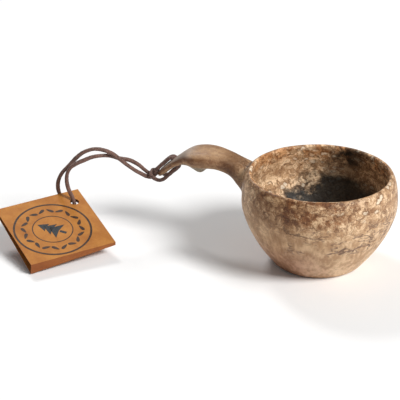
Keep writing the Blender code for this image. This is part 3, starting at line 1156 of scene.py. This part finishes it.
@dataclass
class Lanyard:
    """One leather lace: hitched through the handle's tip, crossed, and knotted below the tag.

    Attributes:
        hitch: one half of the hitch, from the middle of its loop to the tip; the other half mirrors it.
        lower_end: how the near strand leaves the hitch.
        upper_end: how the far strand leaves the hitch.
        lower: the near strand, from the bend to the knot.
        upper: the far strand, from the bend to the knot.
        knot_share: how much of the knot's closed curve is tied.
        sides: corners of the lace's section.
        ring_spacing: distance between two sections.
        flatness: how oval the section is.
        wrinkling: how deep the wrinkles are.
        bend_start: not used.
        bend_end: not used.
    """

    diameter: float = 2.8
    hitch: tuple[Point, ...] = (
        (-123.6, 0.0, 42.9), (-123.5, -2.9, 42.0), (-121.8, -4.9, 40.7), (-119.0, -5.6, 39.5),
        (-115.8, -5.3, 38.9), (-112.9, -4.4, 40.0), (-110.6, -3.4, 42.3), (-108.4, -2.5, 44.8),
        (-106.0, -1.9, 46.9), (-103.9, -1.6, 49.0), (-103.6, -1.6, 51.6), (-105.2, -1.6, 54.2),
        (-107.1, -1.6, 55.8), (-109.4, -1.6, 55.3), (-112.2, -1.6, 52.8), (-115.1, -1.6, 49.8),
        (-118.0, -1.6, 46.8), (-120.3, -1.6, 43.9), (-120.9, -1.6, 41.5),
    )
    lower_end: tuple[Point, ...] = ((-122.1, -1.8, 39.5), (-124.4, -2.3, 38.6), (-126.9, -3.1, 39.1))
    upper_end: tuple[Point, ...] = ((-122.1, 1.8, 39.5), (-124.4, 1.7, 38.8), (-127.0, 0.8, 40.1))
    lower: tuple[Point, ...] = (
        (-129.8, -4.9, 41.1), (-132.9, -7.0, 43.5), (-138.4, -10.5, 48.9), (-143.2, -13.4, 54.1),
        (-147.7, -14.9, 57.5), (-152.9, -16.6, 59.6), (-159.2, -19.2, 60.3), (-165.8, -22.0, 57.8),
        (-170.9, -23.8, 53.2), (-175.6, -25.8, 47.5), (-180.1, -27.4, 42.2), (-183.4, -27.5, 35.8),
        (-184.8, -26.5, 29.4), (-184.6, -25.0, 24.0), (-182.6, -23.4, 17.4), (-179.6, -23.6, 13.4),
        (-175.8, -25.2, 11.2),
    )
    upper: tuple[Point, ...] = (
        (-129.5, -1.7, 43.4), (-131.4, -3.6, 46.3), (-133.9, -5.0, 48.5), (-138.0, -6.8, 50.8),
        (-144.6, -9.8, 52.2), (-149.1, -13.0, 54.4), (-153.6, -16.3, 55.2), (-159.5, -20.0, 54.7),
        (-164.8, -23.6, 52.6), (-169.3, -26.6, 50.4), (-172.8, -28.8, 47.7), (-174.9, -29.7, 43.3),
        (-175.8, -29.5, 38.1), (-175.2, -28.9, 31.6), (-172.6, -28.8, 25.8), (-170.8, -29.2, 21.6),
        (-170.2, -29.6, 18.6), (-170.8, -28.9, 14.6),
    )
    knot_place: Point = (-172.2, -27.4, 10.6)
    knot_size: float = 1.18
    knot_height: float = 1.15
    knot_steps: int = 96
    knot_share: float = 0.985
    sides: int = 14
    ring_spacing: float = 0.55
    flatness: float = 0.07
    wrinkling: float = 0.09
    roll_per_millimetre: float = 0.10
    bend_start: Point = (-125.2, -1.0, 39.0)
    bend_end: Point = (-131.5, -4.6, 43.6)
    finish: LaceLeather = field(default_factory=LaceLeather)

    def build(self) -> list[bpy.types.Object]:
        """Lay both halves of the lace and its knot.

        Returns:
            The two halves and the knot.
        """
        leather = self.finish.make()
        near = [*self.hitch, *self.lower_end, *self.lower]
        far = [*((x, -y, z) for x, y, z in self.hitch), *self.upper_end, *self.upper]
        knot = self._knot(leather)
        halves = []
        for name, route, node, seed in (("lace_near_half", near, "lanyard_lower_strand", 3.0),
                                        ("lace_far_half", far, "lanyard_upper_strand", 11.0)):
            path = evenly(smooth_curve([Vector(p) * MM for p in route], 12), self.ring_spacing * MM)
            half = self._tube(name, path, seed)
            dress(half, leather)
            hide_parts(node)
            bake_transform(half)
            halves.append(half)
        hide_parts("lanyard_hitch")
        return [*halves, knot]

    def _tube(self, name: str, path: Sequence[Vector], seed: float) -> bpy.types.Object:
        """Skin a path with a slightly flattened, wrinkled lace.

        Args:
            name: the piece's name.
            path: evenly spaced points of the lace's middle.
            seed: shifts the wrinkles, so that no two stretches look the same.

        Returns:
            The lace, with an attribute that follows it round and along.
        """
        rings, marks = [], []
        across = (path[1] - path[0]).orthogonal().normalized()
        walked = 0.0
        for index, centre in enumerate(path):
            before, after = path[max(index - 1, 0)], path[min(index + 1, len(path) - 1)]
            tangent = (after - before).normalized()
            across = (across - tangent * across.dot(tangent)).normalized()
            beside = tangent.cross(across)
            roll = walked / MM * self.roll_per_millimetre + seed
            ring = []
            for side in range(self.sides):
                angle = 2 * math.pi * side / self.sides
                spot = Vector((math.cos(angle), math.sin(angle), walked / MM * 0.5 + seed))
                wrinkle = noise.noise(spot * 1.6)
                oval = 1.0 + self.flatness * math.cos(2 * (angle - roll))
                radius = self.diameter / 2 * MM * oval * (1.0 + self.wrinkling * wrinkle)
                ring.append(centre + (across * math.cos(angle) + beside * math.sin(angle)) * radius)
                marks.append((math.cos(angle), math.sin(angle), walked / MM + seed * 10))
            rings.append(ring)
            if index + 1 < len(path):
                walked += (path[index + 1] - centre).length
        builder = lofted(rings)
        layer = builder.verts.layers.float_vector.new("along_lace")
        nearest = {tuple(round(c, 7) for c in place): mark
                   for place, mark in zip((p for ring in rings for p in ring), marks)}
        for vertex in builder.verts:
            vertex[layer] = Vector(nearest.get(tuple(round(c, 7) for c in vertex.co), marks[0]))
        return add_piece(name, builder)

    def _knot(self, leather: bpy.types.Material) -> bpy.types.Object:
        """Tie the overhand knot that joins the lace's ends.

        Args:
            leather: the lace's material.

        Returns:
            The knot.
        """
        centre = Vector(self.knot_place) * MM
        loop = []
        for step in range(self.knot_steps + 1):
            t = 2 * math.pi * step / self.knot_steps * self.knot_share
            shape = Vector((
                math.sin(t) + 2 * math.sin(2 * t),
                math.cos(t) - 2 * math.cos(2 * t),
                -self.knot_height * math.sin(3 * t),
            ))
            loop.append(centre + shape * (self.knot_size * MM))
        knot = self._tube("lace_knot", evenly(loop, self.ring_spacing * MM), 5.0)
        dress(knot, leather)
        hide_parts("lanyard_knot")
        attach(knot, Body.LANYARD.value)
        return knot


# ---------------------------------------------------------------- the tag


@dataclass
class SwingTag:
    """One card cut flat, creased twice into two leaves and a narrow spine, holed and printed.

    Attributes:
        corner: the near left corner of the upper leaf, on its upper face.
        yaw: how far the fold is turned from the handle's line.
        rise: how far the fold climbs to the right.
        tilt: how far the leaf climbs to the rear.
        side: the length of each side of a leaf.
        thickness: the card's.
        solid_thickness: the card's in the frame's plain solid.
        spare_drop: how far the folded card may reach below that solid.
        gaps: between the leaves: at the fold, left and right, then at the rear, left and right.
        print_centre: the print's middle, from the left edge and from the fold.
        print_rings: inner and outer radius of each ring.
        spruce_tiers: half width, lowest and highest point of each tier.
    """

    corner: Point = (-164.4, -101.6, 8.2)
    yaw: float = math.radians(52.4)
    rise: float = math.radians(2.0)
    tilt: float = math.radians(14.2)
    side: float = 62.0
    thickness: float = 0.5
    solid_thickness: float = 0.6
    spare_drop: float = 0.1
    gaps: tuple[float, float, float, float] = (6.8, 1.5, 1.6, 1.0)
    hole_from_right: float = 8.0
    hole_from_rear: float = 12.0
    hole_radius: float = 3.1
    print_centre: tuple[float, float] = (28.0, 28.5)
    print_rings: tuple[tuple[float, float], ...] = ((25.6, 27.0), (13.4, 14.1))
    wreath_radius: float = 19.8
    wreath_leaves: int = 20
    leaf_half_length: float = 3.0
    leaf_half_width: float = 1.15
    leaf_taper: float = 0.45
    leaf_lean: float = math.radians(32.0)
    spruce_tiers: tuple[Point, ...] = ((6.4, -4.6, 2.2), (5.0, -0.6, 5.6), (3.5, 3.4, 9.4))
    spruce_notch: float = 0.9
    trunk: tuple[Point, ...] = ((-0.9, -8.4, 0.0), (0.9, -8.4, 0.0), (0.9, -4.4, 0.0), (-0.9, -4.4, 0.0))
    spruce_turn: float = math.radians(45.0)
    spruce_scale: float = 1.2
    ink_height: float = 0.06
    finish: TagCard = field(default_factory=TagCard)
    ring_ink: PrintInk = PrintInk("ring_ink_brown", (0.020, 0.009, 0.004), (0.10, 0.038, 0.012))
    mark_ink: PrintInk = PrintInk("mark_ink_blue_black", (0.008, 0.014, 0.020), (0.035, 0.032, 0.030))

    def __post_init__(self) -> None:
        """Work out the tag's directions from its angles."""
        heading = Vector((math.cos(self.yaw), math.sin(self.yaw), 0.0))
        level = Vector((-math.sin(self.yaw), math.cos(self.yaw), 0.0))
        self.along = heading * math.cos(self.rise) + Vector((0.0, 0.0, math.sin(self.rise)))
        self.rearward = level * math.cos(self.tilt) + self.along.cross(level) * math.sin(self.tilt)
        self.upward = self.along.cross(self.rearward)

    def build(self) -> list[bpy.types.Object]:
        """Fold the card and print on it.

        Returns:
            The card and its prints.
        """
        card = self._card()
        dress(card, self.finish.make())
        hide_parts("swing_tag")
        brown, blue = self.ring_ink.make(), self.mark_ink.make()
        ring = self._printed("tag_print_ring", self._ring_outline())
        wreath = self._printed("tag_print_wreath", self._wreath_outlines())
        spruce = self._printed("tag_print_spruce", self._spruce_outline())
        for piece, ink in ((ring, brown), (wreath, brown), (spruce, blue)):
            dress(piece, ink)
        pieces = [card, ring, wreath, spruce]
        for piece in pieces:
            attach(piece, Body.TAG.value)
        return pieces

    def leaf_point(self, across: float, back: float, up: float) -> Vector:
        """Find a point of the upper leaf.

        Args:
            across: millimetres from the left edge.
            back: millimetres from the fold.
            up: millimetres above the leaf's upper face.

        Returns:
            The point, in metres.
        """
        return (Vector(self.corner) + self.along * across + self.rearward * back + self.upward * up) * MM

    def _drop(self, across: float, back: float) -> float:
        """Return how far the lower leaf's middle lies below the upper leaf's.

        Args:
            across: millimetres from the left edge.
            back: millimetres from the fold.

        Returns:
            The drop in millimetres.
        """
        near = self.gaps[0] + (self.gaps[1] - self.gaps[0]) * across / self.side
        far = self.gaps[2] + (self.gaps[3] - self.gaps[2]) * across / self.side
        return near + (far - near) * back / self.side + self.solid_thickness + self.spare_drop

    def _folded(self, across: float, along_cut: float) -> Vector:
        """Find where a point of the flat cut lies once the card is folded.

        Args:
            across: millimetres from the left edge.
            along_cut: millimetres along the cut, from the upper leaf's rear edge to the lower leaf's.

        Returns:
            The point on the card's middle layer, in metres.
        """
        half = self.thickness / 2
        drop = self._drop(across, 0.0)
        if along_cut <= self.side:
            return self.leaf_point(across, self.side - along_cut + half, -half)
        if along_cut <= self.side + drop:
            return self.leaf_point(across, half, -half - (along_cut - self.side))
        back = min(along_cut - self.side - drop, self.side)
        down = self._drop(across, back)
        return self.leaf_point(across, back + half, -half - down)

    def _card(self) -> bpy.types.Object:
        """Cut the flat card, fold it, give it its thickness and punch the hole.

        Returns:
            The card.
        """
        spine_rows, leaf_rows, columns = 8, 44, 40
        builder = bmesh.new()
        bmesh.ops.create_grid(builder, x_segments=columns, y_segments=2 * leaf_rows + spine_rows, size=0.5)
        for vertex in builder.verts:
            across = (vertex.co.x + 0.5) * self.side
            row = (vertex.co.y + 0.5) * (2 * leaf_rows + spine_rows)
            drop = self._drop(across, 0.0)
            if row <= leaf_rows:
                cut = self.side * row / leaf_rows
            elif row <= leaf_rows + spine_rows:
                cut = self.side + drop * (row - leaf_rows) / spine_rows
            else:
                cut = self.side + drop + self.side * (row - leaf_rows - spine_rows) / leaf_rows
            vertex.co = self._folded(across, cut)
        bmesh.ops.recalc_face_normals(builder, faces=builder.faces)
        card = add_piece("tag_card", builder)
        solidify = card.modifiers.new("card_thickness", "SOLIDIFY")
        solidify.thickness = self.thickness * MM
        solidify.offset = 0.0
        solidify.use_even_offset = True
        settle(card)
        punch = bmesh.new()
        place = self.leaf_point(self.side - self.hole_from_right, self.side - self.hole_from_rear, 0.0)
        turn = Matrix((self.along, self.rearward, self.upward)).transposed().to_4x4()
        shape = Matrix.Translation(place) @ turn
        bmesh.ops.create_cone(punch, cap_ends=True, segments=40, radius1=self.hole_radius * MM,
                              radius2=self.hole_radius * MM, depth=12 * MM, matrix=shape)
        combine(card, add_piece("punch_form", punch), "DIFFERENCE")
        card.data.set_sharp_from_angle(angle=math.radians(40.0))
        return card

    def _printed(self, name: str, builder: bmesh.types.BMesh) -> bpy.types.Object:
        """Raise flat shapes to the ink's height and lay them on the upper leaf.

        Args:
            name: the print's name.
            builder: flat faces in millimetres across and back.

        Returns:
            The print.
        """
        faces = list(builder.faces)
        grown = bmesh.ops.extrude_face_region(builder, geom=faces)["geom"]
        lifted = [item for item in grown if isinstance(item, bmesh.types.BMVert)]
        bmesh.ops.translate(builder, verts=lifted, vec=(0.0, 0.0, self.ink_height))
        for vertex in builder.verts:
            vertex.co = self.leaf_point(vertex.co.x, vertex.co.y, vertex.co.z + 0.01)
        bmesh.ops.recalc_face_normals(builder, faces=builder.faces)
        piece = add_piece(name, builder)
        piece.data.set_sharp_from_angle(angle=math.radians(30.0))
        return piece

    def _ring_outline(self) -> bmesh.types.BMesh:
        """Turn the rings of the print as flat strips.

        Returns:
            Their faces, in millimetres across and back.
        """
        builder = bmesh.new()
        for inside, outside in self.print_rings:
            inner = builder.verts.new((inside, 0.0, 0.0))
            outer = builder.verts.new((outside, 0.0, 0.0))
            edge = builder.edges.new((inner, outer))
            bmesh.ops.spin(builder, geom=[inner, outer, edge], cent=(0, 0, 0), axis=(0, 0, 1),
                           angle=2 * math.pi, steps=96, use_merge=True)
        bmesh.ops.translate(builder, verts=builder.verts, vec=(*self.print_centre, 0.0))
        return builder

    def _wreath_outlines(self) -> bmesh.types.BMesh:
        """Lay the wreath's pointed leaves round the print's middle.

        Returns:
            Their faces, in millimetres across and back.
        """
        builder = bmesh.new()
        for index in range(self.wreath_leaves):
            turn = 2 * math.pi * index / self.wreath_leaves
            lean = math.pi / 2 + (self.leaf_lean if index % 2 else -self.leaf_lean)
            made = bmesh.ops.create_circle(builder, cap_ends=True, segments=12, radius=1.0)["verts"]
            for vertex in made:
                width = self.leaf_half_width * (1.0 - self.leaf_taper * vertex.co.x)
                vertex.co = (vertex.co.x * self.leaf_half_length, vertex.co.y * width, 0.0)
            out = Matrix.Rotation(turn, 4, "Z") @ Matrix.Translation((self.wreath_radius, 0.0, 0.0))
            shape = Matrix.Translation((*self.print_centre, 0.0)) @ out @ Matrix.Rotation(lean, 4, "Z")
            bmesh.ops.transform(builder, matrix=shape, verts=made)
        return builder

    def _spruce_outline(self) -> bmesh.types.BMesh:
        """Lay a spruce of three tiers and a trunk, turned towards the card's corner.

        Returns:
            Its faces, in millimetres across and back.
        """
        builder = bmesh.new()
        for half, low, high in self.spruce_tiers:
            notch = low + self.spruce_notch
            corners = ((-half, low, 0.0), (0.0, notch, 0.0), (half, low, 0.0), (0.0, high, 0.0))
            builder.faces.new([builder.verts.new(corner) for corner in corners])
        builder.faces.new([builder.verts.new(corner) for corner in self.trunk])
        turn = Matrix.Rotation(self.spruce_turn, 4, "Z") @ Matrix.Scale(self.spruce_scale, 4)
        shape = Matrix.Translation((*self.print_centre, 0.0)) @ turn
        bmesh.ops.transform(builder, matrix=shape, verts=builder.verts)
        return builder


# ---------------------------------------------------------------- studio


@dataclass(frozen=True)
class SoftLamp:
    """A round soft lamp, placed by its angles as the camera sees them.

    Attributes:
        name: the lamp's name.
        azimuth: degrees to the right of the camera's side of the cup.
        height: degrees above the floor.
        size: its width in metres.
        power: watts.
        colour: the light's colour.
    """

    name: str
    azimuth: float
    height: float
    size: float
    power: float
    colour: Colour


@dataclass
class Studio:
    """Camera, pale floor and soft lights."""

    eye: Point = (288.35, -843.55, 461.71)
    heading: float = math.radians(24.0)
    pitch: float = math.radians(25.2174)
    lens: float = 132.25
    floor_half: float = 4.0
    floor_white: Colour = (0.93, 0.93, 0.93)
    lamps: tuple[SoftLamp, ...] = (
        SoftLamp("key", 54.0, 42.0, 1.15, 95.5, (1.0, 0.996, 0.99)),
        SoftLamp("back", -155.0, 42.0, 0.8, 38.0, (1.0, 1.0, 1.0)),
    )
    lamp_distance: float = 3.0
    lamp_aim: Point = (-40.0, 0.0, 30.0)
    sky_strength: float = 0.20

    def place_camera(self) -> None:
        """Set the camera up first."""
        data = bpy.data.cameras.new("camera")
        data.lens = self.lens
        data.sensor_width = 36.0
        data.clip_end = 50.0
        camera = bpy.data.objects.new("camera", data)
        camera.location = Vector(self.eye) * MM
        camera.rotation_euler = (math.pi / 2 - self.pitch, 0.0, self.heading)
        bpy.context.scene.collection.objects.link(camera)
        bpy.context.scene.camera = camera

    def light(self) -> None:
        """Lay the floor and hang the lights."""
        builder = bmesh.new()
        bmesh.ops.create_grid(builder, x_segments=1, y_segments=1, size=self.floor_half)
        floor = add_piece("floor", builder)
        material, graph, shader = new_material("floor_white")
        graph.feed(shader.inputs["Base Color"], self.floor_white)
        shader.inputs["Roughness"].default_value = 0.9
        shader.inputs["Specular IOR Level"].default_value = 0.0
        floor.data.materials.append(material)
        for lamp in self.lamps:
            self._hang(lamp)
        world = bpy.data.worlds.new("studio")
        world.use_nodes = True
        sky = world.node_tree.nodes["Background"]
        sky.inputs["Color"].default_value = (1.0, 1.0, 1.0, 1.0)
        sky.inputs["Strength"].default_value = self.sky_strength
        bpy.context.scene.world = world
        bpy.context.scene.view_settings.view_transform = "Standard"

    def _hang(self, lamp: SoftLamp) -> None:
        """Hang a lamp so that it faces the object.

        Args:
            lamp: the lamp.
        """
        data = bpy.data.lights.new(lamp.name, "AREA")
        data.shape = "DISK"
        data.size = lamp.size
        data.energy = lamp.power
        data.color = lamp.colour
        hung = bpy.data.objects.new(lamp.name, data)
        turn, up = math.radians(lamp.azimuth) + self.heading, math.radians(lamp.height)
        away = Vector((math.sin(turn) * math.cos(up), -math.cos(turn) * math.cos(up), math.sin(up)))
        hung.location = away * self.lamp_distance + Vector(self.lamp_aim) * MM
        hung.rotation_euler = away.to_track_quat("Z", "Y").to_euler()
        bpy.context.scene.collection.objects.link(hung)


def main() -> None:
    """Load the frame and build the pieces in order."""
    logging.basicConfig(level=logging.INFO, format="%(name)s: %(message)s")
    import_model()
    studio = Studio()
    studio.place_camera()
    for part in (Lanyard(), Cup(), SwingTag()):
        made = part.build()
        for piece in made if isinstance(made, list) else [made]:
            LOG.info("%s has %d faces", piece.name, len(piece.data.polygons))
    studio.light()


if __name__ == "__main__":
    main()
